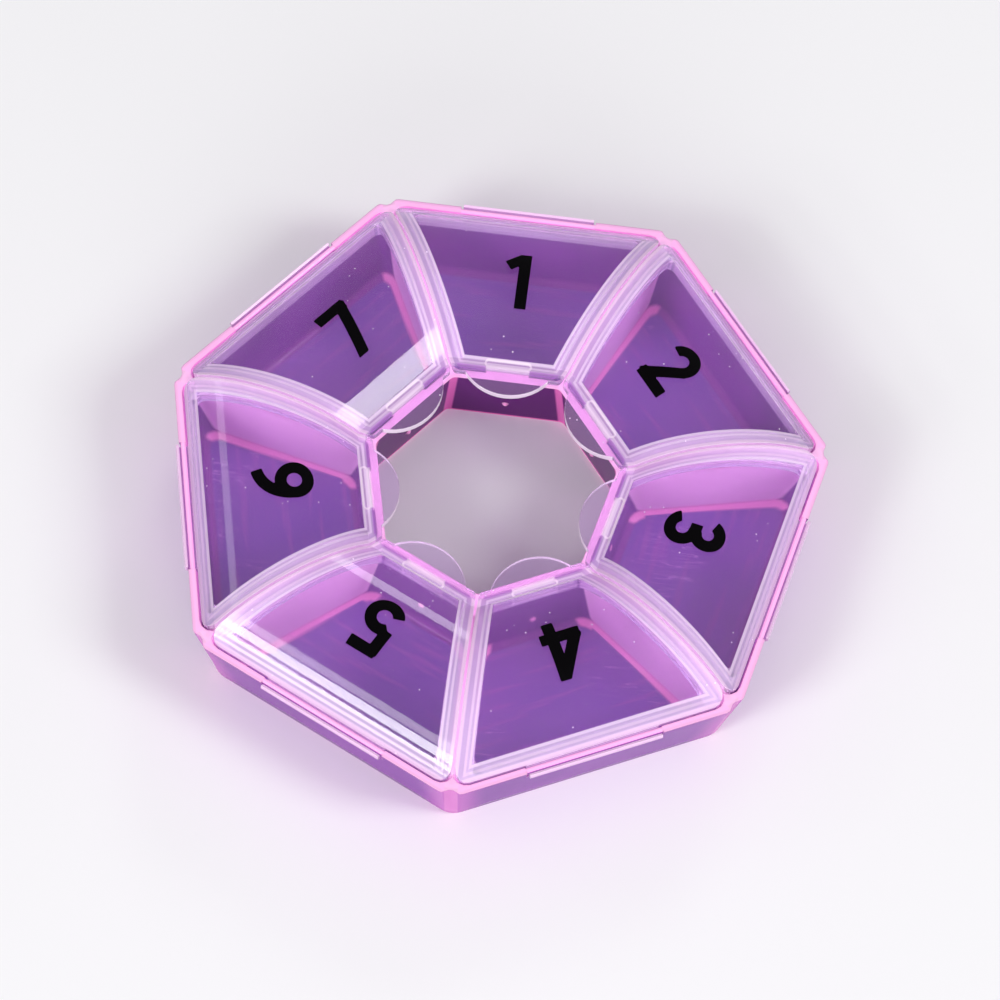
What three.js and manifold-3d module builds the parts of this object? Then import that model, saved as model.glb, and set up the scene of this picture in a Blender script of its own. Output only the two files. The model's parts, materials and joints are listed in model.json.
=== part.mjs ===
// Travel pill box: a seven-sided tray, with a pill compartment along each side and an open middle,
// and seven arched lids. Each lid hooks round a bar in the rim, swings up and outwards on it,
// and lies shut with its finger tab over the rim of the middle hole.
// Millimetres, +Z up. The underside is at z = 0, one side of the rim faces +Y, and one corner points to -Y.

import * as THREE from 'three';
import { mergeVertices } from 'three/addons/utils/BufferGeometryUtils.js';
import Module from 'manifold-3d';

const wasm = await Module();
wasm.setup();

// Driving dimensions of the whole box

const compartments = 7;
const corner_reach = 49;             // middle of the box to a corner of the rim, as if it were sharp
const rim_height = 14.4;             // underside to the outer rim
const crest_height = 5.4;            // outer rim to the highest line of the arched lids
const running_gap = 0.3;             // clearance between a lid and whatever it moves past or lies on
const cut_overrun = 1;               // how far a cut runs past the face that it opens

// Tray: outer wall

const rim_wall = 1;
const wall_lean = 2.65;              // the wall leans in this far from rim to foot
const foot_edge_radius = 0.8;
const foot_corner_radius = 3.4;
const groove_shoulder_start = 1.9;   // along the side, from the sharp corner to where the shoulder bends
const groove_shoulder_end = 1.45;
const groove_shoulder_drop = 0.12;
const groove_depth = 1.2;            // from the sharp corner to the groove's floor
const groove_floor = 0.6;
const groove_fade_shares = [[0.2, 0.85], [0.45, 0.6], [0.86, 0.15], [1, 0]];   // height, way to round

// Tray: floor, partitions and the wall of the middle hole

const floor_thickness = 1.2;
const floor_fillet = 1.4;
const partition_top = 1;
const partition_foot = 1.6;
const hole_reach = 16;               // middle of the box to a side of the hole, at its rim
const hole_flare = 2;                // the hole widens this far from rim to foot
const hole_wall = 1.1;
const hole_rim_drop = 0.5;           // the hole's rim lies this far below the outer rim
const hole_corner_radius = 1.2;
const pocket_outer_radius = 1.5;
const pocket_inner_radius = 1.2;
const pocket_floor_outer_radius = 2;
const pocket_floor_inner_radius = 3;
const ridge_root = 1.5;

// Tray: catch lips and gate marks on the hole's wall

const lip_length = 6.3;
const lip_proud = 0.4;
const lip_thickness = 0.3;
const lip_height = 0.8;
const gate_mark_radius = 0.5;
const gate_mark_depth = 9.3;         // below the outer rim
const gate_mark_proud = 0.35;

// Hinge: a bar across each window of the rim, and the lid's hook round it

const bar_radius = 0.4;
const bar_inset = 0.6;               // outer face of the rim to the bar's middle
const bar_bedding = 1.5;             // how far each end of the bar runs into the wall
const hook_length = 19.4;
const hook_thickness = 0.4;
const hook_mouth_degrees = 30;       // the hook's lip ends this far above the level of the bar
const hook_root_degrees = 165;
const sill_clearance = 0.4;          // under the hook

// Lids

const lid_thickness = 1.1;
const lid_edge_offset = 0.2;         // middle plane of a partition to the lids on either side
const lid_setback = 0.5;             // side of the hole to the lid's inner edge
const arch_setback = 1.6;            // side of the hole to where the arch would meet the outer rim's level
const lid_outer_corner_radius = 1.5;
const lid_inner_corner_radius = 0.8;
const skirt_depth = 2.5;             // measured from the lid's outside, square to it
const skirt_thickness = 0.8;
const side_flange = 1.45;            // lid edge to skirt, along the partitions
const outer_flange = 1.05;           // lid edge to skirt, at the hinge
const skirt_corner_radius = 1.3;
const skirt_inside_radius = 0.9;
const tab_width = 12.1;
const tab_reach = 3.1;
const bead_length = 6.6;
const bead_radius = 0.45;
const bead_proud = 0.4;
const bead_under_lip = 0.15;

// Facets

const corner_steps = 4;
const fillet_steps = 3;
const arch_steps = 22;
const tab_steps = 14;
const hook_steps = 14;
const bar_facets = 14;
const bead_facets = 8;
const bead_cap_steps = 2;
const mark_facets = 10;
const mark_rings = 6;

// Places that follow from the dimensions

const half_angle = Math.PI / compartments;
const rim_apothem = corner_reach * Math.cos(half_angle);
const floor_top = floor_thickness;
const hinge_reach = rim_apothem - bar_inset;
const hinge_height = rim_height - bar_radius;
const hook_inner_radius = bar_radius + running_gap;
const hook_outer_radius = hook_inner_radius + hook_thickness;
const window_depth = bar_radius + hook_outer_radius + sill_clearance;
const lid_outer_reach = hinge_reach - hook_inner_radius;
const lid_inner_reach = hole_reach + lid_setback;
const arch_inner_reach = hole_reach + arch_setback;
const hole_rim_height = rim_height - hole_rim_drop;
const tab_floor = hole_rim_height + running_gap;
const tab_top = tab_floor + lid_thickness;
const window_half = hook_length / 2 + running_gap;
const bead_face_reach = hole_reach + hole_wall + lip_proud + running_gap;
const bead_height = hole_rim_height - lip_height - bead_under_lip - bead_radius;
const skirt_inner_reach = bead_face_reach + bead_proud;
const skirt_outer_reach = lid_outer_reach - outer_flange;
const ridge_depth = lid_thickness + running_gap;

// The arch of the lids is an arc from the inner foot to the hinge edge, both at the rim's level.

const arch_middle = (lid_outer_reach + arch_inner_reach) / 2;
const arch_half_span = (lid_outer_reach - arch_inner_reach) / 2;
const arch_radius = (arch_half_span ** 2 + crest_height ** 2) / (2 * crest_height);
const arch_centre_height = rim_height + crest_height - arch_radius;

const tray_plastic = new THREE.MeshStandardMaterial({
  name: 'pink_clear_plastic',
  color: 0xe58fd2,
  roughness: 0.22,
  metalness: 0,
  transparent: true,
  opacity: 0.75,
});
const lid_plastic = new THREE.MeshStandardMaterial({
  name: 'frosted_clear_plastic',
  color: 0xdcc6ee,
  roughness: 0.3,
  metalness: 0,
  transparent: true,
  opacity: 0.5,
});

// Solids: from a closed geometry to one that can be cut and joined, and back

function solid(geometry) {
  const bare = geometry.clone();
  bare.deleteAttribute('normal');
  bare.deleteAttribute('uv');
  const merged = mergeVertices(bare);
  const vertProperties = new Float32Array(merged.attributes.position.array);
  const triVerts = new Uint32Array(merged.index.array);
  return new wasm.Manifold(new wasm.Mesh({ numProp: 3, vertProperties, triVerts }));
}

function body_geometry(body) {
  const { vertProperties, triVerts } = body.getMesh();
  const geometry = new THREE.BufferGeometry();
  geometry.setAttribute('position', new THREE.BufferAttribute(new Float32Array(vertProperties), 3));
  geometry.setIndex(Array.from(triVerts));
  geometry.computeVertexNormals();
  return geometry;
}

// Outlines

// Rounds each corner of a counter-clockwise outline; every corner gives the same number of points.
function rounded(corners, radii) {
  return corners.flatMap((corner, index) => {
    const back = corners.at(index - 1).clone().sub(corner).normalize();
    const ahead = corners[(index + 1) % corners.length].clone().sub(corner).normalize();
    const half_corner = Math.acos(back.dot(ahead)) / 2;
    const bisector = back.clone().add(ahead).normalize();
    const centre = bisector.multiplyScalar(radii[index] / Math.sin(half_corner)).add(corner);
    const start = back.multiplyScalar(radii[index] / Math.tan(half_corner)).add(corner);
    const sweep = Math.PI - 2 * half_corner;
    const steps = Array.from({ length: corner_steps + 1 }, (unused, step) => step / corner_steps);
    return steps.map((share) => start.clone().rotateAround(centre, sweep * share));
  });
}

// Corners of the sector of the side that faces +Y, between two distances from the middle.
// The offset is the distance that it keeps from the partitions' middle planes.
function sector(inner_reach, outer_reach, offset) {
  const half_width = (reach) => reach * Math.tan(half_angle) - offset / Math.cos(half_angle);
  return [
    new THREE.Vector2(half_width(outer_reach), outer_reach),
    new THREE.Vector2(-half_width(outer_reach), outer_reach),
    new THREE.Vector2(-half_width(inner_reach), inner_reach),
    new THREE.Vector2(half_width(inner_reach), inner_reach),
  ];
}

function rounded_sector(inner_reach, outer_reach, offset, inner_radius, outer_radius) {
  const radii = [outer_radius, outer_radius, inner_radius, inner_radius];
  return rounded(sector(inner_reach, outer_reach, offset), radii);
}

function corner_angle(index) {
  return Math.PI / 2 + half_angle * (2 * index + 1);
}

function seven_sided(apothem, radius) {
  const reach = apothem / Math.cos(half_angle);
  const corners = Array.from({ length: compartments }, (unused, index) => new THREE.Vector2(
    reach * Math.cos(corner_angle(index)), reach * Math.sin(corner_angle(index)),
  ));
  return rounded(corners, corners.map(() => radius));
}

// One half of a corner of the outer wall, as distances out from the sharp corner and sideways from it

const along_out = -Math.sin(half_angle);
const along_side = Math.cos(half_angle);
const groove_half = [
  [groove_shoulder_start * along_out, groove_shoulder_start * along_side],
  [
    groove_shoulder_end * along_out - groove_shoulder_drop * along_side,
    groove_shoulder_end * along_side + groove_shoulder_drop * along_out,
  ],
  [-groove_depth, groove_floor / 2],
];
const groove = [
  ...groove_half.map(([out, side]) => new THREE.Vector2(out, -side)),
  ...groove_half.toReversed().map(([out, side]) => new THREE.Vector2(out, side)),
];
const foot_corner = groove.map((unused, index) => {
  const turn = half_angle * (2 * index / (groove.length - 1) - 1);
  const centre = foot_corner_radius / Math.cos(half_angle);
  return new THREE.Vector2(foot_corner_radius * Math.cos(turn) - centre, foot_corner_radius * Math.sin(turn));
});

// The outer wall's outline at one level: grooved corners at the rim, plain round ones at the foot.
function wall_outline(apothem, round_share) {
  const reach = apothem / Math.cos(half_angle);
  const middle = new THREE.Vector2(0, 0);
  return Array.from({ length: compartments }, (unused, index) => groove.map((point, place) => {
    const moved = point.clone().lerp(foot_corner[place], round_share);
    moved.x += reach;
    return moved.rotateAround(middle, corner_angle(index));
  })).flat();
}

// A closed solid through outlines of equal count, lowest first
function loft(levels) {
  const count = levels[0].outline.length;
  const position = levels.flatMap(({ outline, height }) => outline.flatMap(({ x, y }) => [x, y, height]));
  const index = [];
  for (let level = 0; level < levels.length - 1; level += 1) {
    for (let place = 0; place < count; place += 1) {
      const low = level * count + place;
      const low_next = level * count + (place + 1) % count;
      index.push(low, low_next, low_next + count);
      index.push(low, low_next + count, low + count);
    }
  }
  const last = (levels.length - 1) * count;
  THREE.ShapeUtils.triangulateShape(levels[0].outline, []).forEach(([a, b, c]) => index.push(a, c, b));
  THREE.ShapeUtils.triangulateShape(levels.at(-1).outline, [])
    .forEach(([a, b, c]) => index.push(last + a, last + b, last + c));
  const geometry = new THREE.BufferGeometry();
  geometry.setAttribute('position', new THREE.BufferAttribute(new Float32Array(position), 3));
  geometry.setIndex(index);
  return solid(geometry);
}

function upright(outline, low, high) {
  return loft([{ outline, height: low }, { outline, height: high }]);
}

// A section drawn as distance from the middle and height, run along the side that faces +Y.
function along_the_side(section, length) {
  const shape = new THREE.Shape(section);
  const geometry = new THREE.ExtrudeGeometry(shape, { depth: length, bevelEnabled: false });
  const reach_axis = new THREE.Vector3(0, 1, 0);
  const height_axis = new THREE.Vector3(0, 0, 1);
  const side_axis = new THREE.Vector3(1, 0, 0);
  geometry.translate(0, 0, -length / 2);
  geometry.applyMatrix4(new THREE.Matrix4().makeBasis(reach_axis, height_axis, side_axis));
  return solid(geometry);
}

function arc(centre_x, centre_y, radius, from, to, steps) {
  return Array.from({ length: steps + 1 }, (unused, step) => {
    const angle = THREE.MathUtils.lerp(from, to, step / steps);
    return new THREE.Vector2(centre_x + radius * Math.cos(angle), centre_y + radius * Math.sin(angle));
  });
}

// A piece of the arch's section between two distances from the middle, at some depth below the outside.
// A flatter arc that doesn't reach so far ends where it stands upright.
function arch_line(depth, from_reach, to_reach) {
  const radius = arch_radius - depth;
  const angle_at = (reach) => Math.acos(THREE.MathUtils.clamp((reach - arch_middle) / radius, -1, 1));
  return arc(arch_middle, arch_centre_height, radius, angle_at(from_reach), angle_at(to_reach), arch_steps);
}

// Distance of the arch's inner and outer half from its middle, at one height
function arch_reach(depth, height) {
  return Math.sqrt((arch_radius - depth) ** 2 - (height - arch_centre_height) ** 2);
}

function turned(body, index) {
  return body.rotate([0, 0, index * 360 / compartments]);
}

function on_every_side(body) {
  const copies = Array.from({ length: compartments }, (unused, index) => turned(body, index));
  return copies.reduce((joined, copy) => joined.add(copy));
}

// Tray

function wall_level(height, inset, round_share) {
  const apothem = rim_apothem - wall_lean * (1 - height / rim_height) - inset;
  return { outline: wall_outline(apothem, round_share), height };
}

function tray_block() {
  const foot = Array.from({ length: fillet_steps + 1 }, (unused, step) => {
    const turn = Math.PI / 2 * step / fillet_steps;
    const height = foot_edge_radius * (1 - Math.cos(turn));
    return wall_level(height, foot_edge_radius * (1 - Math.sin(turn)), 1);
  });
  const wall = groove_fade_shares.map(([height_share, round_share]) => (
    wall_level(rim_height * height_share, 0, round_share)
  ));
  return loft([...foot, ...wall]);
}

function middle_hole() {
  const foot = seven_sided(hole_reach + hole_flare, hole_corner_radius);
  const rim = seven_sided(hole_reach, hole_corner_radius);
  return loft([
    { outline: foot, height: -cut_overrun },
    { outline: foot, height: 0 },
    { outline: rim, height: rim_height },
    { outline: rim, height: rim_height + cut_overrun },
  ]);
}

// The distance of a compartment's inner face from the middle, and of its outer face, at one height
function pocket_inner_reach(height) {
  const drop_share = (rim_height - height) / rim_height;
  return hole_reach + hole_wall + hole_flare * drop_share;
}

function pocket_outer_reach(height) {
  const drop_share = (rim_height - height) / rim_height;
  return rim_apothem - rim_wall - wall_lean * drop_share;
}

function pocket_level(height, inset) {
  const drop_share = (rim_height - height) / (rim_height - floor_top);
  const blend = (top, foot) => THREE.MathUtils.lerp(top, foot, drop_share);
  const outline = rounded_sector(
    pocket_inner_reach(height) + inset,
    pocket_outer_reach(height) - inset,
    blend(partition_top, partition_foot) / 2 + inset,
    blend(pocket_inner_radius, pocket_floor_inner_radius) - inset / 2,
    blend(pocket_outer_radius, pocket_floor_outer_radius) - inset / 2,
  );
  return { outline, height };
}

function pocket() {
  const bowl = Array.from({ length: fillet_steps + 1 }, (unused, step) => {
    const turn = Math.PI / 2 * (1 - step / fillet_steps);
    const height = floor_top + floor_fillet * (1 - Math.sin(turn));
    return pocket_level(height, floor_fillet * (1 - Math.cos(turn)));
  });
  const mouth = pocket_level(rim_height, 0);
  return loft([...bowl, mouth, { outline: mouth.outline, height: rim_height + cut_overrun }]);
}

// Everything within an outline of the lid; its outer edge leans in like the wall that it faces.
function within_the_plan(outline_out_to) {
  return loft([
    { outline: outline_out_to(lid_outer_reach - wall_lean), height: 0 },
    { outline: outline_out_to(lid_outer_reach), height: rim_height },
    { outline: outline_out_to(lid_outer_reach), height: rim_height + crest_height + cut_overrun },
  ]);
}

// The partitions rise under the lids, and their tops follow the lids' arch.
const ridge_inner_reach = arch_middle - arch_reach(ridge_depth, hole_rim_height);
const ridge_outer_reach = arch_middle + arch_reach(ridge_depth, rim_height);
const hole_rim_outer_reach = arch_middle - arch_reach(ridge_depth, rim_height);

// A ridge on one partition, drawn as seen from its side and higher than the lids leave room for
function ridge() {
  const top = arch_line(lid_thickness, ridge_inner_reach, ridge_outer_reach);
  const root_height = rim_height - ridge_root;
  const section = [
    new THREE.Vector2(ridge_outer_reach, root_height),
    new THREE.Vector2(ridge_inner_reach, root_height),
    ...top,
  ].map((point) => new THREE.Vector2(point.x / Math.cos(half_angle), point.y));
  return along_the_side(section.reverse(), partition_top).rotate([0, 0, 180 / compartments]);
}

// The room that a closed lid takes up, with the running gap round it
function lid_room() {
  const inner = hole_reach;
  const outer = lid_outer_reach + running_gap;
  const top = rim_height + crest_height + cut_overrun;
  const section = [
    new THREE.Vector2(outer, top),
    new THREE.Vector2(inner, top),
    new THREE.Vector2(inner, hole_rim_height),
    ...arch_line(ridge_depth, ridge_inner_reach, outer),
  ];
  const outline_out_to = (outer_reach) => rounded_sector(
    inner, outer_reach + running_gap, lid_edge_offset - running_gap,
    lid_inner_corner_radius, lid_outer_corner_radius + running_gap,
  );
  return along_the_side(section, 2 * corner_reach).intersect(within_the_plan(outline_out_to));
}

function hole_rim_cut() {
  const outline = seven_sided(hole_rim_outer_reach, hole_corner_radius);
  return upright(outline, hole_rim_height, rim_height + cut_overrun);
}

function hinge_window() {
  const sill = rim_height - window_depth;
  const inner = rim_apothem - rim_wall - wall_lean - cut_overrun;
  const outer = rim_apothem + cut_overrun;
  const section = [
    new THREE.Vector2(inner, sill),
    new THREE.Vector2(outer, sill),
    new THREE.Vector2(outer, rim_height + cut_overrun),
    new THREE.Vector2(inner, rim_height + cut_overrun),
  ];
  return along_the_side(section, 2 * window_half);
}

function hinge_bar() {
  const length = 2 * (window_half + bar_bedding);
  const bar = new THREE.CylinderGeometry(bar_radius, bar_radius, length, bar_facets);
  bar.rotateZ(Math.PI / 2);
  bar.translate(0, hinge_reach, hinge_height);
  return solid(bar);
}

function catch_lip() {
  const top = hole_rim_height;
  const face = pocket_inner_reach(rim_height);
  const root = face - hole_wall / 2;
  const section = [
    new THREE.Vector2(root, top - lip_height),
    new THREE.Vector2(face, top - lip_height),
    new THREE.Vector2(face + lip_proud, top - lip_thickness),
    new THREE.Vector2(face + lip_proud, top),
    new THREE.Vector2(root, top),
  ];
  return along_the_side(section, lip_length);
}

function gate_mark() {
  const height = rim_height - gate_mark_depth;
  const face = hole_reach + hole_flare * gate_mark_depth / rim_height;
  const mark = new THREE.SphereGeometry(gate_mark_radius, mark_facets, mark_rings);
  mark.translate(0, face + gate_mark_radius - gate_mark_proud, height);
  return solid(mark);
}

function tray() {
  const cut = tray_block()
    .subtract(middle_hole())
    .subtract(hole_rim_cut())
    .subtract(on_every_side(pocket()))
    .subtract(on_every_side(hinge_window()));
  return cut
    .add(on_every_side(ridge()))
    .subtract(on_every_side(lid_room()))
    .add(on_every_side(hinge_bar()))
    .add(on_every_side(catch_lip()))
    .add(on_every_side(gate_mark()));
}

// Lid over the side that faces +Y

// The lid in plan, with its finger tab, out to some distance from the middle
function lid_outline(outer_reach) {
  const plain = rounded_sector(
    lid_inner_reach, outer_reach, lid_edge_offset, lid_inner_corner_radius, lid_outer_corner_radius,
  );
  const radius = ((tab_width / 2) ** 2 + tab_reach ** 2) / (2 * tab_reach);
  const centre = lid_inner_reach - tab_reach + radius;
  const half_sweep = Math.asin(tab_width / 2 / radius);
  const middle = -Math.PI / 2;
  const tab = arc(0, centre, radius, middle - half_sweep, middle + half_sweep, tab_steps);
  const last_corner = plain.length - (corner_steps + 1);
  return [...plain.slice(0, last_corner), ...tab, ...plain.slice(last_corner)];
}

// The arched plate and the flat inner edge, in one section, cut to the plan of the lid
function lid_plate() {
  const flat_start = arch_middle - arch_reach(0, tab_top);
  const underside_start = arch_middle - arch_reach(lid_thickness, tab_floor);
  const top = arch_line(0, lid_outer_reach, flat_start);
  const underside = arch_line(lid_thickness, underside_start, lid_outer_reach);
  const outer = lid_outer_reach + cut_overrun;
  const inner = lid_inner_reach - tab_reach - cut_overrun;
  const section = [
    new THREE.Vector2(outer, rim_height),
    ...top,
    new THREE.Vector2(inner, tab_top),
    new THREE.Vector2(inner, tab_floor),
    ...underside,
    new THREE.Vector2(outer, underside.at(-1).y),
  ];
  return along_the_side(section, 2 * corner_reach).intersect(within_the_plan(lid_outline));
}

// The skirt under the lid is an arched band, with the outline of the clear field cut out of it.
function lid_skirt() {
  const offset = lid_edge_offset + side_flange;
  const outside = rounded_sector(
    skirt_inner_reach, skirt_outer_reach, offset, skirt_corner_radius, skirt_corner_radius,
  );
  const inside = rounded_sector(
    skirt_inner_reach + skirt_thickness, skirt_outer_reach - skirt_thickness, offset + skirt_thickness,
    skirt_inside_radius, skirt_inside_radius,
  );
  const section = [
    ...arch_line(lid_thickness / 2, skirt_outer_reach, skirt_inner_reach),
    ...arch_line(skirt_depth, skirt_inner_reach, skirt_outer_reach),
  ];
  const top = rim_height + crest_height + cut_overrun;
  const band = along_the_side(section, 2 * corner_reach);
  return band.intersect(upright(outside, 0, top)).subtract(upright(inside, 0, top));
}

function hinge_hook() {
  const root = THREE.MathUtils.degToRad(hook_root_degrees);
  const end = THREE.MathUtils.degToRad(360 + hook_mouth_degrees);
  const section = [
    ...arc(hinge_reach, hinge_height, hook_outer_radius, root, end, hook_steps),
    ...arc(hinge_reach, hinge_height, hook_inner_radius, end, root, hook_steps),
  ];
  return along_the_side(section, hook_length);
}

function catch_bead() {
  const bead = new THREE.CapsuleGeometry(
    bead_radius, bead_length - 2 * bead_radius, bead_cap_steps, bead_facets,
  );
  bead.rotateZ(Math.PI / 2);
  bead.translate(0, bead_face_reach + bead_radius, bead_height);
  return solid(bead);
}

function lid() {
  return lid_plate().add(lid_skirt()).add(hinge_hook()).add(catch_bead());
}

// The box, with the middle of its outer box over the origin

const back_reach = hinge_reach + hook_outer_radius;
const front_reach = Math.max(...wall_outline(rim_apothem, 0).map((point) => -point.y));

const pill_box = new THREE.Group();
pill_box.position.y = (front_reach - back_reach) / 2;

const tray_mesh = new THREE.Mesh(body_geometry(tray()), tray_plastic);
tray_mesh.name = 'tray';
pill_box.add(tray_mesh);

const lid_shape = body_geometry(lid());
for (let index = 0; index < compartments; index += 1) {
  const lid_mesh = new THREE.Mesh(lid_shape, lid_plastic);
  lid_mesh.name = `lid_${index + 1}`;
  lid_mesh.rotation.z = -2 * half_angle * index;
  pill_box.add(lid_mesh);
}

export default pill_box;
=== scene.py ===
"""A travel pill box: a pink tray with seven compartments round an open middle, and seven clear arched lids.

Metres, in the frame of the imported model: +Z up, the underside at z = 0, lid 1 over the side that faces +Y.
"""

import json
import math

import bmesh
import bpy
from mathutils import Matrix, Vector


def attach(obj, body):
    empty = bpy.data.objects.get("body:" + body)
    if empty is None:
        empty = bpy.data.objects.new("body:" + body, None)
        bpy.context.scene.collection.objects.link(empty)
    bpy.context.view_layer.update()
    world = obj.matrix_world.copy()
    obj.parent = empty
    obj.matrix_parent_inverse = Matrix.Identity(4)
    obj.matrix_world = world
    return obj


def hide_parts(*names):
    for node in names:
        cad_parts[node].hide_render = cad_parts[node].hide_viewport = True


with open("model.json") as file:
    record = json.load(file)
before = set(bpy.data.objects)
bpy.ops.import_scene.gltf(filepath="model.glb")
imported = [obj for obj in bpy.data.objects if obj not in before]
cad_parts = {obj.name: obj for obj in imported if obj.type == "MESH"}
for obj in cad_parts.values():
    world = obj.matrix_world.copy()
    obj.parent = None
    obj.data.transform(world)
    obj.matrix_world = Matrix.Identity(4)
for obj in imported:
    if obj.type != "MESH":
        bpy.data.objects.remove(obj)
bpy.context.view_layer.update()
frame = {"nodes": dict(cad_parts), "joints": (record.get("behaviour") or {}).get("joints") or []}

MM = 0.001

# Sizes of the box that the pieces here follow

SIDES = 7
HALF_ANGLE = math.pi / SIDES
CORNER_REACH = 49 * MM
RIM_HEIGHT = 14.4 * MM
CREST_HEIGHT = 5.4 * MM
RUNNING_GAP = 0.3 * MM
HOLE_REACH = 16 * MM
HOLE_FLARE = 2 * MM
WALL_LEAN = 2.65 * MM
FLOOR_TOP = 1.2 * MM
GATE_HEIGHT = 5.1 * MM
BAR_INSET = 0.6 * MM
BAR_RADIUS = 0.4 * MM
ARCH_SETBACK = 1.6 * MM

RIM_APOTHEM = CORNER_REACH * math.cos(HALF_ANGLE)
LID_OUTER_REACH = RIM_APOTHEM - BAR_INSET - BAR_RADIUS - RUNNING_GAP
ARCH_INNER_REACH = HOLE_REACH + ARCH_SETBACK
ARCH_MIDDLE = (LID_OUTER_REACH + ARCH_INNER_REACH) / 2
ARCH_HALF_SPAN = (LID_OUTER_REACH - ARCH_INNER_REACH) / 2
ARCH_RADIUS = (ARCH_HALF_SPAN**2 + CREST_HEIGHT**2) / (2 * CREST_HEIGHT)
ARCH_CENTRE = RIM_HEIGHT + CREST_HEIGHT - ARCH_RADIUS

# Where the tray changes colour, measured from its own faces
HOLE_WALL = 1.3 * MM
OUTER_WALL = 1.4 * MM
PARTITION_HALF = 0.85 * MM
GROOVE_DEPTH = 1.55 * MM        # of the corner's groove, from the sharp corner of the rim
RIM_DEPTH = 0.75 * MM
GATE_RADIUS = 0.35 * MM

# The radius to which the shading rounds sharp edges
TRAY_ROUNDING = 0.3 * MM
LID_ROUNDING = 0.2 * MM

# The frame of a lid runs from its edges to the inside of its skirt.
FRAME_OFFSET = 2.45 * MM        # from the middle plane of the partition
FRAME_INNER_REACH = 19.0 * MM
FRAME_OUTER_REACH = 41.0 * MM
LID_OFFSET = 0.2 * MM
HOLE_RIM_OUTSIDE = 17.2 * MM
CATCH_HALF = 3.15 * MM          # half the length of the catch lip
BEAD_HALF = 2.85 * MM           # the middle of the catch bead to the middle of its round end
BEAD_REACH = 18.25 * MM
BEAD_RADIUS = 0.45 * MM

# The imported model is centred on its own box, so the middle of the seven sides lies a little off its
# origin. The first lid's hinge shows where.
first_hinge = next(joint for joint in frame["joints"] if joint["child"] == "lid_1")
MIDDLE = Vector((0, first_hinge["pos_m"][1] - (RIM_APOTHEM - BAR_INSET), 0))


def side_matrix(number):
    """Turns what is made over the first side, round the middle of the box, to the side of a lid."""
    turn = Matrix.Rotation(-2 * HALF_ANGLE * (number - 1), 4, "Z")
    return Matrix.Translation(MIDDLE) @ turn


# Shader maths

BEVEL_SAMPLES = 6
EDGE_REACH = 3.0                # how readily a bend counts as an edge
SCRATCH_STRETCH = 14.0          # a scratch is about this many times as long as it is wide
BAND_CORE_SHARE = 0.4           # the share of a band's half width that is at full strength


class Link:
    """A value or colour in a finish, on which sums are written as plain expressions."""

    def __init__(self, finish, socket):
        self.finish = finish
        self.socket = socket

    def maths(self, operation, first, second=0.0, clamp=False):
        settings = {"operation": operation, "use_clamp": clamp}
        return self.finish.node("ShaderNodeMath", settings, {0: first, 1: second})

    def __add__(self, other):
        return self.maths("ADD", self, other)

    __radd__ = __add__

    def __sub__(self, other):
        return self.maths("SUBTRACT", self, other)

    def __rsub__(self, other):
        return self.maths("SUBTRACT", other, self)

    def __mul__(self, other):
        return self.maths("MULTIPLY", self, other)

    __rmul__ = __mul__

    def __truediv__(self, other):
        return self.maths("DIVIDE", self, other)

    def __pow__(self, other):
        return self.maths("POWER", self, other)

    def one(self, operation):
        return self.maths(operation, self)

    def most(self, other):
        return self.maths("MAXIMUM", self, other)

    def least(self, other):
        return self.maths("MINIMUM", self, other)

    def clamped(self):
        return self.maths("ADD", self, 0.0, clamp=True)

    def rises(self, low, high):
        """0 below low and 1 above high, with a smooth step between them."""
        settings = {"interpolation_type": "SMOOTHSTEP"}
        inputs = {"Value": self, "From Min": low, "From Max": high}
        return self.finish.node("ShaderNodeMapRange", settings, inputs)


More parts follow.
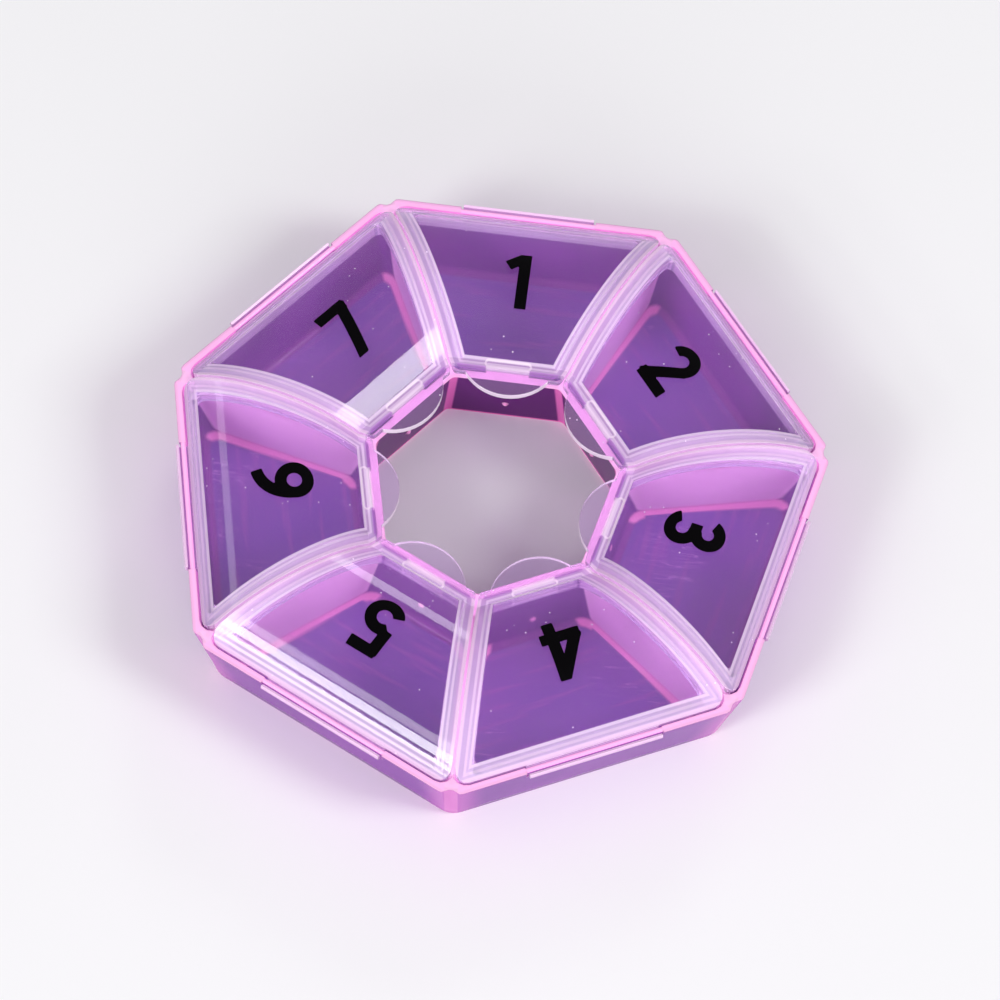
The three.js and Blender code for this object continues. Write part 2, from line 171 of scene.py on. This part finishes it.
class Finish:
    """A material, built node by node."""

    def __init__(self, name):
        self.material = bpy.data.materials.new(name)
        self.material.use_nodes = True
        self.tree = self.material.node_tree
        self.tree.nodes.clear()

    def node(self, kind, settings=None, inputs=None, output=0):
        """Adds a node with its settings and the values or links of its sockets, and gives one output."""
        made = self.tree.nodes.new(kind)
        for name, value in (settings or {}).items():
            setattr(made, name, value)
        for name, value in (inputs or {}).items():
            if isinstance(value, Link):
                self.tree.links.new(value.socket, made.inputs[name])
            else:
                made.inputs[name].default_value = value
        return Link(self, made.outputs[output]) if made.outputs else None

    def place(self):
        return self.node("ShaderNodeTexCoord", output="Object")

    def parts(self, vector):
        split = self.node("ShaderNodeSeparateXYZ", inputs={0: vector})
        outputs = split.socket.node.outputs
        return [Link(self, outputs[axis]) for axis in range(3)]

    def side_place(self):
        """Where a point lies on its own side of the box: along the side, out from the middle, up from the
        table, and off the middle plane of the nearest partition. It reads the same on all seven sides."""
        across, back, up = self.parts(self.place())
        back = back - MIDDLE.y
        turn = across.maths("ARCTAN2", across, back)
        rest = turn - (turn / (2 * HALF_ANGLE)).one("ROUND") * (2 * HALF_ANGLE)
        spread = (across * across + back * back) ** 0.5
        along = spread * rest.one("SINE")
        out = spread * rest.one("COSINE")
        off = out * math.sin(HALF_ANGLE) - along.one("ABSOLUTE") * math.cos(HALF_ANGLE)
        return along, out, up, off

    def facing_up(self):
        """The upward part of the surface's direction: 1 on flat tops, 0 on upright walls."""
        return self.parts(self.node("ShaderNodeNewGeometry", output="Normal"))[2]

    def noise(self, scale, detail=3.0, vector=None):
        inputs = {"Vector": vector or self.place(), "Scale": scale, "Detail": detail}
        return self.node("ShaderNodeTexNoise", inputs=inputs)

    def specks(self, scale, size):
        """Single grains of dust, 1 inside each and 0 between them."""
        cells = self.node("ShaderNodeTexVoronoi", inputs={"Vector": self.place(), "Scale": scale})
        few = self.noise(scale * 0.3, detail=1.0).rises(0.6, 0.62)
        return (1 - cells.rises(size * 0.6, size)) * few

    def scratches(self, scale):
        """Fine handling scratches, long and thin, 1 along each and 0 between them."""
        stretch = {"operation": "MULTIPLY"}
        place = self.node("ShaderNodeVectorMath", stretch, {0: self.place(), 1: (1.0, SCRATCH_STRETCH, 1.0)})
        lines = 1 - (self.noise(scale, detail=2.0, vector=place) - 0.5).one("ABSOLUTE").rises(0.004, 0.012)
        return lines * self.noise(scale=60.0, detail=2.0).rises(0.5, 0.65)

    def band(self, measure, middle, half_width):
        """1 where a measure is at a value, fading to 0 within half a band's width on either side."""
        core = half_width * BAND_CORE_SHARE
        return 1 - (measure - middle).one("ABSOLUTE").rises(core, half_width)

    def layers(self, colour, *coats):
        """A colour with coats over it, each a mask and the colour that it brings."""
        for mask, coat in coats:
            colour = self.colour_mix(mask, colour, coat)
        return colour

    def colour_mix(self, share, first, second):
        return self.node("ShaderNodeMix", {"data_type": "RGBA"}, {0: share, 6: first, 7: second}, output=2)

    def edges(self, radius):
        """1 along edges that bend sharply, and 0 on open faces; with the normal, rounded along the edges."""
        rounded = self.node("ShaderNodeBevel", {"samples": BEVEL_SAMPLES}, {"Radius": radius})
        flat = self.node("ShaderNodeNewGeometry", output="Normal")
        dot_product = {"operation": "DOT_PRODUCT"}
        along = self.node("ShaderNodeVectorMath", dot_product, {0: rounded, 1: flat}, output="Value")
        bend = ((1 - along) * EDGE_REACH).clamped()
        blend = {0: bend.rises(0.01, 0.05), 4: flat, 5: rounded}
        return bend, self.node("ShaderNodeMix", {"data_type": "VECTOR"}, blend, output=1)

    def square_on(self):
        """1 where the surface is seen square on, falling to 0 where it is seen along its face."""
        return 1 - self.node("ShaderNodeLayerWeight", inputs={"Blend": 0.5}, output="Facing")

    def surface(self, shader):
        self.node("ShaderNodeOutputMaterial", inputs={"Surface": shader})
        return self.material


def srgb(red, green, blue, alpha=1.0):
    """A colour as a picture shows it, 0 to 255, in the linear values that a shader takes."""

    def linear(value):
        share = value / 255
        return share / 12.92 if share <= 0.04045 else ((share + 0.055) / 1.055) ** 2.4

    return (linear(red), linear(green), linear(blue), alpha)


PLASTIC_IOR = 1.47
TRAY_TINT = (0.8, 0.45, 0.8, 1)
LID_TINT = (0.94, 0.88, 0.97, 1)
BLACK = (0, 0, 0, 1)
# The colour of a painted glow inside the outer wall near the top, which lifts its shade; it is emission, not
# a lamp.
RIM_PAINTED_GLOW = (0.14, 0.05, 0.10, 1)


def lets_light_through(finish, shader, tint, share):
    """Lets lamps shine through a clear piece, with a tint, so that what is under it isn't in the dark."""
    shadow_ray = finish.node("ShaderNodeLightPath", output="Is Shadow Ray")
    open_film = finish.node("ShaderNodeBsdfTransparent", inputs={"Color": tint})
    mixed = {0: shadow_ray * share, 1: shader, 2: open_film}
    return finish.node("ShaderNodeMixShader", inputs=mixed)


def tray_finish():
    """Glossy pink plastic: violet in the floors, pale on the partitions, bright pink along rims and folds,
    with painted highlights on its sharp edges, rim tops and feet, and a painted glow inside the outer wall
    near the top.
    """
    finish = Finish("tray_pink_plastic")
    along, out, up, off = finish.side_place()
    facing_up = finish.facing_up()
    # edge marks sharp edges, for the painted highlight along them; rounded is the normal, rounded along them.
    edge, rounded = finish.edges(TRAY_ROUNDING)

    # The walls lean, so each is followed down from its place at the rim.
    hole_face = out - HOLE_FLARE * (RIM_HEIGHT - up) / RIM_HEIGHT
    on_hole_wall = 1 - hole_face.rises(HOLE_REACH + 0.15 * MM, HOLE_REACH + 0.3 * MM)
    by_hole_wall = 1 - hole_face.rises(HOLE_REACH + HOLE_WALL, HOLE_REACH + HOLE_WALL + 0.3 * MM)
    wall_face = out + WALL_LEAN * (RIM_HEIGHT - up) / RIM_HEIGHT
    by_outer_wall = wall_face.rises(RIM_APOTHEM - OUTER_WALL - 0.8 * MM, RIM_APOTHEM - OUTER_WALL)
    by_partition = 1 - off.rises(PARTITION_HALF, PARTITION_HALF + 0.2 * MM)

    # The groove down each corner lies inside the outer wall's face, and still belongs to the outside.
    corner_face = (along * along + out * out) ** 0.5 + (wall_face - out) / math.cos(HALF_ANGLE)
    groove_reach = CORNER_REACH - GROOVE_DEPTH
    in_groove = by_partition * corner_face.rises(groove_reach, groove_reach + 0.15 * MM)
    outside = wall_face.rises(RIM_APOTHEM - 0.5 * MM, RIM_APOTHEM - 0.3 * MM).most(in_groove)
    by_corner = 1 - off.rises(0.5 * MM, 5 * MM)

    # Floors, the folds where the walls meet them, rims and the underside
    low = 1 - up.rises(FLOOR_TOP + 0.5 * MM, FLOOR_TOP + 1.3 * MM)
    on_floor = facing_up.rises(0.9, 0.98) * low
    fold = (1 - on_floor) * low
    near_top = up.rises(RIM_HEIGHT - 2.0 * MM, RIM_HEIGHT - 1.0 * MM)
    rim_start = RIM_HEIGHT - RIM_DEPTH
    on_rim = up.rises(rim_start, rim_start + 0.2 * MM) * facing_up.rises(0.3, 0.6)
    inner_ridge = out.rises(HOLE_REACH + 1 * MM, HOLE_REACH + 2 * MM)
    inner_ridge = inner_ridge * (1 - out.rises(LID_OUTER_REACH, RIM_APOTHEM))
    # A painted highlight: a bright line along the foot of the walls.
    foot_highlight = 1 - up.rises(0.25 * MM, 0.6 * MM)
    under = (0 - facing_up).rises(0.7, 0.9)

    # A gate mark on the hole's wall, and what the moulding leaves in the plastic
    off_gate = (along * along + (up - GATE_HEIGHT) * (up - GATE_HEIGHT)) ** 0.5
    gate = (1 - off_gate.rises(GATE_RADIUS, GATE_RADIUS + 0.25 * MM)) * by_hole_wall
    cloud = finish.noise(scale=90.0, detail=3.0).rises(0.3, 0.7)
    haze = finish.noise(scale=34.0, detail=2.0).rises(0.35, 0.75)
    scratches = finish.scratches(scale=70.0)
    flow = finish.node("ShaderNodeCombineXYZ", inputs={0: along * 0.12, 1: out, 2: up})
    flow_lines = finish.noise(scale=800.0, detail=2.0, vector=flow).rises(0.5, 0.75)

    inside = finish.colour_mix(cloud, srgb(142, 70, 166), srgb(132, 62, 158))
    deep = finish.colour_mix(cloud, srgb(130, 42, 160), srgb(120, 36, 152))
    outer = finish.colour_mix(finish.square_on().rises(0.35, 0.75), deep, srgb(178, 92, 190))
    underside = finish.colour_mix(cloud, srgb(176, 104, 196), srgb(164, 92, 188))
    floors = finish.colour_mix(haze, srgb(137, 88, 183), srgb(156, 101, 189))
    colour = finish.layers(
        inside,
        (by_partition, finish.colour_mix(haze, srgb(246, 190, 238), srgb(238, 180, 234))),
        (on_floor, floors),
        (flow_lines * on_floor * 0.5, srgb(176, 104, 190)),
        (scratches * on_floor * 0.5, srgb(204, 150, 220)),
        (fold * 0.15, srgb(214, 122, 208)),
        (fold * (1 - off.rises(2.2 * MM, 2.8 * MM)) * (1 - under), srgb(255, 156, 222)),
        (near_top * by_outer_wall, srgb(238, 150, 218)),
        (near_top * by_hole_wall, srgb(226, 130, 208)),
        (near_top * by_partition, srgb(240, 176, 226)),
        (outside, outer),
        (on_hole_wall, srgb(98, 14, 112)),
        (under, underside),
        (outside * by_corner * 0.7, srgb(206, 98, 198)),
        (outside * by_partition * 0.6, srgb(228, 132, 208)),
        (on_hole_wall * (1 - off.rises(0.45 * MM, 0.8 * MM)), srgb(236, 110, 196)),
        (foot_highlight * on_hole_wall, srgb(255, 122, 204)),
        (foot_highlight * outside * 0.7, srgb(220, 130, 214)),
        (gate, srgb(255, 170, 226)),
        # The rim's top: its own pink, painted paler as a highlight, also along the inner ridge.
        (on_rim, srgb(255, 188, 238)),
        (on_rim * by_partition * inner_ridge, srgb(250, 194, 236)),
        # A painted highlight: paler pink along sharp edges, except in the corners' grooves.
        (edge * 0.6 * (1 - outside * by_partition), srgb(255, 184, 232)),
    )

    ripple = finish.noise(scale=160.0, detail=1.0)
    rough = 0.16 + finish.noise(scale=300.0, detail=4.0) * 0.1 + scratches * on_floor * 0.1
    gloss = 0.7 - (outside * 0.5).most(on_hole_wall * 0.55)
    # A painted glow: the inside of the outer wall near the top gives off a faint pink light, to lift its
    # shade; it is no lamp.
    painted_glow = finish.colour_mix(near_top * by_outer_wall * (1 - outside), BLACK, RIM_PAINTED_GLOW)
    bump = finish.node(
        "ShaderNodeBump",
        inputs={"Strength": 0.2, "Distance": 0.03 * MM, "Height": ripple, "Normal": rounded},
    )
    shader = finish.node(
        "ShaderNodeBsdfPrincipled",
        inputs={
            "Base Color": colour,
            "Roughness": rough,
            "IOR": PLASTIC_IOR,
            "Transmission Weight": 0.06,
            "Specular IOR Level": 0.02,
            "Coat Weight": gloss,
            "Coat Roughness": 0.1,
            "Emission Color": painted_glow,
            "Emission Strength": 1.0,
            "Normal": bump,
        },
    )
    return finish.surface(lets_light_through(finish, shader, TRAY_TINT, 0.55))


def lid_finish():
    """Clear plastic, milky in the frame where it is thick, with painted highlights along its edges, lines,
    hook, bead and tab, painted shade in the slots beside the catch, and grains of dust.
    """
    finish = Finish("lid_clear_plastic")
    along, out, up, off = finish.side_place()
    # edge marks sharp edges, for the painted highlight along them; rounded is the normal, rounded along them.
    edge, rounded = finish.edges(LID_ROUNDING)

    # The milky frame, and painted highlights in lines along it, where the skirt under it and the lid's own
    # edge catch the light
    within_frame = (off - FRAME_OFFSET).least(out - FRAME_INNER_REACH).least(FRAME_OUTER_REACH - out)
    over_hole_rim = 1 - out.rises(HOLE_RIM_OUTSIDE, HOLE_RIM_OUTSIDE + 0.5 * MM)
    by_hinge = out.rises(FRAME_OUTER_REACH, FRAME_OUTER_REACH + 0.2 * MM)
    frame_band = (1 - within_frame.rises(-0.1 * MM, 0.05 * MM)) * (1 - over_hole_rim * 0.9)
    skirt_highlight = finish.band(within_frame, -0.2 * MM, 0.3 * MM) * frame_band
    fine_highlight = finish.band(within_frame, -0.9 * MM, 0.24 * MM) * frame_band
    within_lid = (off - LID_OFFSET).least(LID_OUTER_REACH - out)
    lid_edge_highlight = finish.band(within_lid, 0.2 * MM, 0.4 * MM) * frame_band

    # A painted highlight round the catch bead and on the catch lip seen through the lid, and painted shade in
    # the gaps beside the lip
    aside = along.one("ABSOLUTE")
    past_bead = (aside - BEAD_HALF).most(0.0)
    off_bead = (past_bead * past_bead + (out - BEAD_REACH) * (out - BEAD_REACH)) ** 0.5
    bead_highlight = finish.band(off_bead, BEAD_RADIUS, 0.22 * MM)
    catch_highlight = finish.band(out, HOLE_RIM_OUTSIDE + 0.25 * MM, 0.35 * MM)
    in_catch = 1 - aside.rises(CATCH_HALF - 0.1 * MM, CATCH_HALF + 0.1 * MM)
    slot_shade = catch_highlight * (1 - in_catch) * off.rises(LID_OFFSET + 0.6 * MM, LID_OFFSET + 0.9 * MM)
    catch_highlight = catch_highlight * in_catch

    # Wear and dust; the hook seen from above, milky and partly a painted highlight; and a painted highlight
    # on the tab's upright edge
    dust = finish.specks(scale=700.0, size=0.1)
    smear = finish.noise(scale=60.0, detail=4.0).rises(0.5, 0.8)
    scratches = finish.scratches(scale=110.0)
    seen_along = 1 - finish.square_on().rises(0.4, 0.85)
    hook_milk_and_highlight = out.rises(RIM_APOTHEM - 0.3 * MM, RIM_APOTHEM - 0.1 * MM)
    upright = 1 - finish.facing_up().one("ABSOLUTE").rises(0.2, 0.5)
    tab_side_highlight = upright * (1 - out.rises(HOLE_REACH + 0.3 * MM, HOLE_REACH + 0.6 * MM))

    # The share of milky plastic over the clear one, which also carries the painted highlights and the painted
    # shade
    milk_share_and_painted_light = 0.03 + frame_band * (0.42 - by_hinge * seen_along * 0.36)
    milk_share_and_painted_light = milk_share_and_painted_light + skirt_highlight * 0.24 + lid_edge_highlight * 0.26 + fine_highlight * 0.1 + edge * 0.4 + hook_milk_and_highlight * 0.5
    milk_share_and_painted_light = milk_share_and_painted_light + dust * 0.8 + bead_highlight * 0.14 + catch_highlight * 0.1 + slot_shade * 0.3 + tab_side_highlight * 0.8
    milk_share_and_painted_light = (milk_share_and_painted_light + smear * 0.02 + scratches * 0.03).clamped()

    ripple = finish.noise(scale=130.0, detail=1.0)
    bump = finish.node(
        "ShaderNodeBump",
        inputs={"Strength": 0.025, "Distance": 0.02 * MM, "Height": ripple, "Normal": rounded},
    )
    clear = finish.node(
        "ShaderNodeBsdfPrincipled",
        inputs={
            "Base Color": srgb(244, 232, 250),
            "Roughness": 0.05 + smear * 0.05,
            "IOR": PLASTIC_IOR,
            "Specular IOR Level": 0.35,
            "Transmission Weight": 1.0,
            "Normal": bump,
        },
    )
    towards_rim = out.rises(HOLE_REACH, RIM_APOTHEM)
    milk_colour_and_painted_light = finish.layers(
        srgb(206, 176, 228),
        (frame_band, finish.colour_mix(towards_rim, srgb(214, 180, 228), srgb(220, 200, 236))),
        # Painted highlights on the lid's edge line, the skirt's lines, the hook, bead, catch, edges and tab,
        # and painted shade in the slots
        (lid_edge_highlight, srgb(240, 208, 238)),
        (skirt_highlight.most(fine_highlight), srgb(244, 220, 248)),
        (hook_milk_and_highlight, srgb(246, 206, 242)),
        (slot_shade, srgb(170, 112, 192)),
        (bead_highlight.most(catch_highlight), srgb(252, 232, 250)),
        (edge.most(dust).most(tab_side_highlight), srgb(255, 240, 255)),
    )
    milky = finish.node(
        "ShaderNodeBsdfPrincipled",
        inputs={"Base Color": milk_colour_and_painted_light, "Roughness": 0.3, "IOR": PLASTIC_IOR, "Normal": bump},
    )
    shader = finish.node("ShaderNodeMixShader", inputs={0: milk_share_and_painted_light, 1: clear, 2: milky})
    return finish.surface(lets_light_through(finish, shader, LID_TINT, 0.9))


def ink_finish():
    """Black pad-printing ink, slightly glossy, with small thin spots."""
    finish = Finish("printing_ink")
    spots = finish.noise(scale=1500.0, detail=3.0).rises(0.66, 0.84)
    colour = finish.colour_mix(spots, srgb(2, 1, 3), srgb(20, 12, 24))
    shader = finish.node(
        "ShaderNodeBsdfPrincipled",
        inputs={"Base Color": colour, "Roughness": 0.55 + spots * 0.2, "Specular IOR Level": 0.05},
    )
    return finish.surface(shader)


def floor_finish():
    """A plain pale board."""
    finish = Finish("pale_floor")
    mottle = finish.noise(scale=6.0, detail=3.0)
    colour = finish.colour_mix(mottle, srgb(240, 239, 241), srgb(245, 244, 246))
    shader = finish.node("ShaderNodeBsdfPrincipled", inputs={"Base Color": colour, "Roughness": 0.6})
    return finish.surface(shader)


# Mesh helpers

WELD = 0.002 * MM
SMOOTH_DEGREES = 28           # facets that meet at less than this stand for one curve
ARCH_TOLERANCE = 4            # degrees between an arched face and the arc that it follows


def new_piece(name, mesh, finish, body):
    """Adds a piece that moves with a body, with the finish as its one material."""
    piece = bpy.data.objects.new(name, mesh)
    bpy.context.scene.collection.objects.link(piece)
    mesh.materials.clear()
    mesh.materials.append(finish)
    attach(piece, body)
    return piece


def moulded_skin(node, finish):
    """The node's own shape, with its facets shaded as the smooth curves that they stand for."""
    mesh = frame["nodes"][node].data.copy()
    form = bmesh.new()
    form.from_mesh(mesh)
    bmesh.ops.remove_doubles(form, verts=form.verts, dist=WELD)
    for face in form.faces:
        face.smooth = True
    for edge in form.edges:
        edge.smooth = edge.calc_face_angle(math.pi) < math.radians(SMOOTH_DEGREES)
    form.to_mesh(mesh)
    form.free()
    piece = new_piece(f"{node}_moulding", mesh, finish, node)
    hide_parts(node)
    return piece


def square_to_arch(place):
    """The direction square to the arch of a lid, at a place over the first side."""
    return Vector((0, place.y - ARCH_MIDDLE, place.z - ARCH_CENTRE)).normalized()


def follow_arch(mesh, number):
    """Shades the arched faces of a lid as the true arc, so that streaks of light run straight along it."""
    from_side = side_matrix(number)
    to_side = from_side.inverted()
    directions = [corner.vector.copy() for corner in mesh.corner_normals]
    for face in mesh.polygons:
        facing = (to_side.to_3x3() @ face.normal).dot(square_to_arch(to_side @ face.center))
        if abs(facing) > math.cos(math.radians(ARCH_TOLERANCE)):
            outwards = math.copysign(1, facing)
            for corner in face.loop_indices:
                place = to_side @ mesh.vertices[mesh.loops[corner].vertex_index].co
                directions[corner] = from_side.to_3x3() @ square_to_arch(place) * outwards
    mesh.normals_split_custom_set(directions)


# Printed numbers

DIGIT_HEIGHT = 9 * MM
DIGIT_MIDDLE = 30 * MM        # distance of the printing's middle from the middle of the box
DIGIT_CELL = 0.02             # the fineness of the printing, as a share of its height
STROKE = 0.19                 # the width of a stroke, as a share of the height
INK_LIFT = 0.005 * MM         # between the lid's face and the ink
INK_THICKNESS = 0.04 * MM
INK_WELD = 0.001 * MM

# Each number is drawn from bars, from end to end, and arcs, each with its middle, radius and two angles
# in degrees; lengths are shares of the number's height.
STROKES = {
    1: [("bar", 0.07, 0.0, 0.07, 1.0), ("bar", -0.2, 0.75, 0.1, 0.96)],
    2: [
        ("arc", 0.0, 0.7, 0.205, -38, 172),
        ("bar", 0.2, 0.62, -0.24, 0.03),
        ("bar", -0.28, 0.095, 0.3, 0.095),
    ],
    3: [
        ("arc", 0.0, 0.715, 0.19, -100, 160),
        ("arc", 0.0, 0.295, 0.2, -160, 100),
        ("bar", -0.12, 0.505, 0.02, 0.505),
    ],
    4: [
        ("bar", 0.12, 0.0, 0.12, 1.0),
        ("bar", -0.33, 0.28, 0.31, 0.28),
        ("bar", -0.27, 0.26, 0.12, 0.95),
    ],
    5: [
        ("bar", -0.23, 0.905, 0.26, 0.905),
        ("bar", -0.16, 0.95, -0.19, 0.5),
        ("arc", -0.02, 0.315, 0.22, -158, 132),
    ],
    6: [("arc", 0.0, 0.31, 0.215, -181, 181), ("arc", 0.33, 0.36, 0.545, 100, 185)],
    7: [("bar", -0.29, 0.905, 0.29, 0.905), ("bar", 0.23, 0.98, -0.12, -0.05)],
}


def off_bar(x, y, start_x, start_y, end_x, end_y):
    """How far a point lies outside a bar of the stroke's width with square ends."""
    length = math.hypot(end_x - start_x, end_y - start_y)
    ahead = ((x - start_x) * (end_x - start_x) + (y - start_y) * (end_y - start_y)) / length
    aside = ((x - start_x) * (end_y - start_y) - (y - start_y) * (end_x - start_x)) / length
    return max(abs(aside) - STROKE / 2, -ahead, ahead - length)


def off_arc(x, y, middle_x, middle_y, radius, from_degrees, to_degrees):
    """How far a point lies outside an arc of the stroke's width with square ends."""
    middle_degrees = (from_degrees + to_degrees) / 2
    turn = math.degrees(math.atan2(y - middle_y, x - middle_x)) - middle_degrees
    turn = abs((turn + 180) % 360 - 180) - (to_degrees - from_degrees) / 2
    across = abs(math.hypot(x - middle_x, y - middle_y) - radius) - STROKE / 2
    return max(across, radius * math.radians(turn))


def off_number(number, x, y):
    """How far a point lies outside the strokes of a number; inside them it is below zero."""
    measures = {"bar": off_bar, "arc": off_arc}
    nearest = min(measures[kind](x, y, *sizes) for kind, *sizes in STROKES[number])
    return max(nearest, -y, y - 1)


def inked_part(corners):
    """The part of one cell that is inked: its corners are points, each with its distance off the ink."""
    inked = []
    for (here, off_here), (following, off_following) in zip(corners, corners[1:] + corners[:1]):
        if off_here <= 0:
            inked.append(here)
        if (off_here <= 0) != (off_following <= 0):
            share = off_here / (off_here - off_following)
            inked.append(tuple(a + (b - a) * share for a, b in zip(here, following)))
    return inked


def on_crest(aside, height):
    """Where a point of a number, given in cells, lies on the arch of the first lid."""
    from_middle = DIGIT_MIDDLE - ARCH_MIDDLE + (height * DIGIT_CELL - 0.5) * DIGIT_HEIGHT
    angle = from_middle / ARCH_RADIUS
    radius = ARCH_RADIUS + INK_LIFT
    reach = ARCH_MIDDLE + radius * math.sin(angle)
    level = ARCH_CENTRE + radius * math.cos(angle)
    return Vector((aside * DIGIT_CELL * DIGIT_HEIGHT, reach, level))


def printed_number(number, finish):
    """A number wrapped over the crest of its lid, its top towards the rim."""
    count_up = round(1 / DIGIT_CELL)
    count_aside = count_up // 2
    grid = {
        (column, row): off_number(number, column * DIGIT_CELL, row * DIGIT_CELL)
        for column in range(-count_aside, count_aside + 1)
        for row in range(count_up + 1)
    }
    form = bmesh.new()
    for column in range(-count_aside, count_aside):
        for row in range(count_up):
            places = [(column, row), (column + 1, row), (column + 1, row + 1), (column, row + 1)]
            inked = inked_part([(place, grid[place]) for place in places])
            if len(inked) > 2:
                form.faces.new([form.verts.new(on_crest(*point)) for point in inked])
    bmesh.ops.remove_doubles(form, verts=form.verts, dist=INK_WELD)
    bmesh.ops.dissolve_degenerate(form, edges=form.edges, dist=INK_WELD)
    bmesh.ops.recalc_face_normals(form, faces=form.faces)
    bmesh.ops.solidify(form, geom=form.faces, thickness=INK_THICKNESS)
    mesh = bpy.data.meshes.new(f"number_{number}")
    form.to_mesh(mesh)
    form.free()
    mesh.transform(side_matrix(number))
    return new_piece(f"number_{number}", mesh, finish, f"lid_{number}")


# The object

pink = tray_finish()
clear = lid_finish()
ink = ink_finish()

moulded_skin("tray", pink)
for count in range(1, SIDES + 1):
    lid = moulded_skin(f"lid_{count}", clear)
    follow_arch(lid.data, count)
    printed_number(count, ink)

# Floor, light and camera

FLOOR_HALF = 3.0
FLOOR_SQUARES = 8


def floor():
    """A board under the box, far wider than the picture."""
    mesh = bpy.data.meshes.new("floor")
    form = bmesh.new()
    bmesh.ops.create_grid(form, x_segments=FLOOR_SQUARES, y_segments=FLOOR_SQUARES, size=FLOOR_HALF)
    form.to_mesh(mesh)
    form.free()
    mesh.materials.append(floor_finish())
    board = bpy.data.objects.new("floor", mesh)
    bpy.context.scene.collection.objects.link(board)


# Each lamp's azimuth and elevation in degrees, its distance, its width and height, and its brightness.
# The four at the front left stand one above the other, for the parallel streaks on the arched lids.
LAMPS = {
    "front_left_strip_0": (226, 24, 1.5, 0.4, 0.06, 17),
    "front_left_strip_1": (226, 30.5, 1.5, 0.4, 0.10, 18),
    "front_left_strip_2": (226, 38.8, 1.5, 0.4, 0.20, 18),
    "front_left_strip_3": (226, 47.5, 1.5, 0.4, 0.18, 6),
    "back_strip": (79, 28, 1.8, 0.48, 0.30, 6),
    "left_strip": (162, 33, 1.8, 0.28, 0.20, 3),
    "right_softbox": (-11, 41, 1.5, 0.4, 0.6, 12.5),
    "front_fill": (-82, 17, 2.2, 2.0, 0.8, 3.2),
}
SKY_BRIGHTNESS = 0.40


def softbox(name, azimuth, elevation, distance, width, height, brightness):
    """A soft lamp that shines at the middle of the box."""
    turn = math.radians(azimuth)
    rise = math.radians(elevation)
    level = math.cos(rise)
    away = Vector((math.cos(turn) * level, math.sin(turn) * level, math.sin(rise)))
    lamp = bpy.data.lights.new(name, "AREA")
    lamp.shape = "RECTANGLE"
    lamp.size = width
    lamp.size_y = height
    lamp.energy = brightness * math.pi * width * height
    holder = bpy.data.objects.new(name, lamp)
    bpy.context.scene.collection.objects.link(holder)
    holder.visible_transmission = False
    holder.location = MIDDLE + away * distance
    holder.rotation_euler = away.to_track_quat("Z", "Y").to_euler()


def studio():
    """A pale sky all round, and the lamps."""
    world = bpy.data.worlds.new("studio")
    world.use_nodes = True
    background = world.node_tree.nodes["Background"]
    background.inputs["Color"].default_value = (0.98, 0.98, 1.0, 1)
    background.inputs["Strength"].default_value = SKY_BRIGHTNESS
    bpy.context.scene.world = world
    for name, sizes in LAMPS.items():
        softbox(name, *sizes)


# The camera stands where the photograph was taken from, measured from the middle of the rim.

CAMERA_SEAT = Vector((14.99, -240.5, 487.5)) * MM
CAMERA_RIGHT = Vector((0.9924, 0.1195, 0.0306))
CAMERA_AHEAD = Vector((-0.0251, 0.4379, -0.8987))
CAMERA_LENS = 137.2           # millimetres, as the sensor's width
CAMERA_SENSOR = 36
CAMERA_NEAR = 0.02
CAMERA_FAR = 20


def camera():
    """The photograph's own view."""
    lens = bpy.data.cameras.new("camera")
    lens.sensor_width = CAMERA_SENSOR
    lens.lens = CAMERA_LENS
    lens.clip_start = CAMERA_NEAR
    lens.clip_end = CAMERA_FAR
    holder = bpy.data.objects.new("camera", lens)
    bpy.context.scene.collection.objects.link(holder)
    ahead = CAMERA_AHEAD.normalized()
    right = (CAMERA_RIGHT - ahead * CAMERA_RIGHT.dot(ahead)).normalized()
    up = right.cross(ahead)
    turn = Matrix((right, up, -ahead)).transposed()
    seat = MIDDLE + Vector((0, 0, RIM_HEIGHT)) + CAMERA_SEAT
    holder.matrix_world = Matrix.Translation(seat) @ turn.to_4x4()
    bpy.context.scene.camera = holder


floor()
studio()
camera()
bpy.context.scene.view_settings.view_transform = "Standard"
